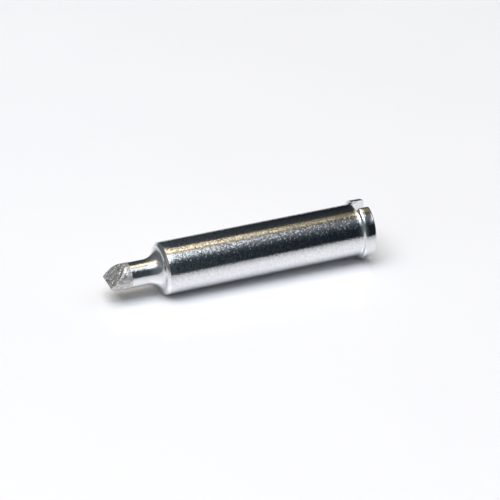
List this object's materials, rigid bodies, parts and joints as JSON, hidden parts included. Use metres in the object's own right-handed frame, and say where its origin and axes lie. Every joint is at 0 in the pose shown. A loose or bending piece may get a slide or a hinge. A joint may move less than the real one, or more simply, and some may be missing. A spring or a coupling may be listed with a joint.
{
  "type": "soldering iron tip",
  "caption": "Plated slip-on soldering iron tip: a hollow barrel with a slotted rear collar, a hollow-blended shoulder and a round nose cut to a single bevelled face.",
  "frame": {"origin": "centre of the open rear face, where the heater bore's axis leaves the tip", "axes": "+X along the heater bore and out of its mouth, so the nose points to -X; +Z is the side that the bevel and the keyway face"},
  "size_m": [0.0416, 0.009, 0.0089],
  "materials": {
    "plating": "satin turned plating on the barrel, bright on the shoulder and neck, dull grey tinned nose"
  },
  "bodies": {
    "root": {"soldering_tip": "plating"}
  },
  "joints": []
}
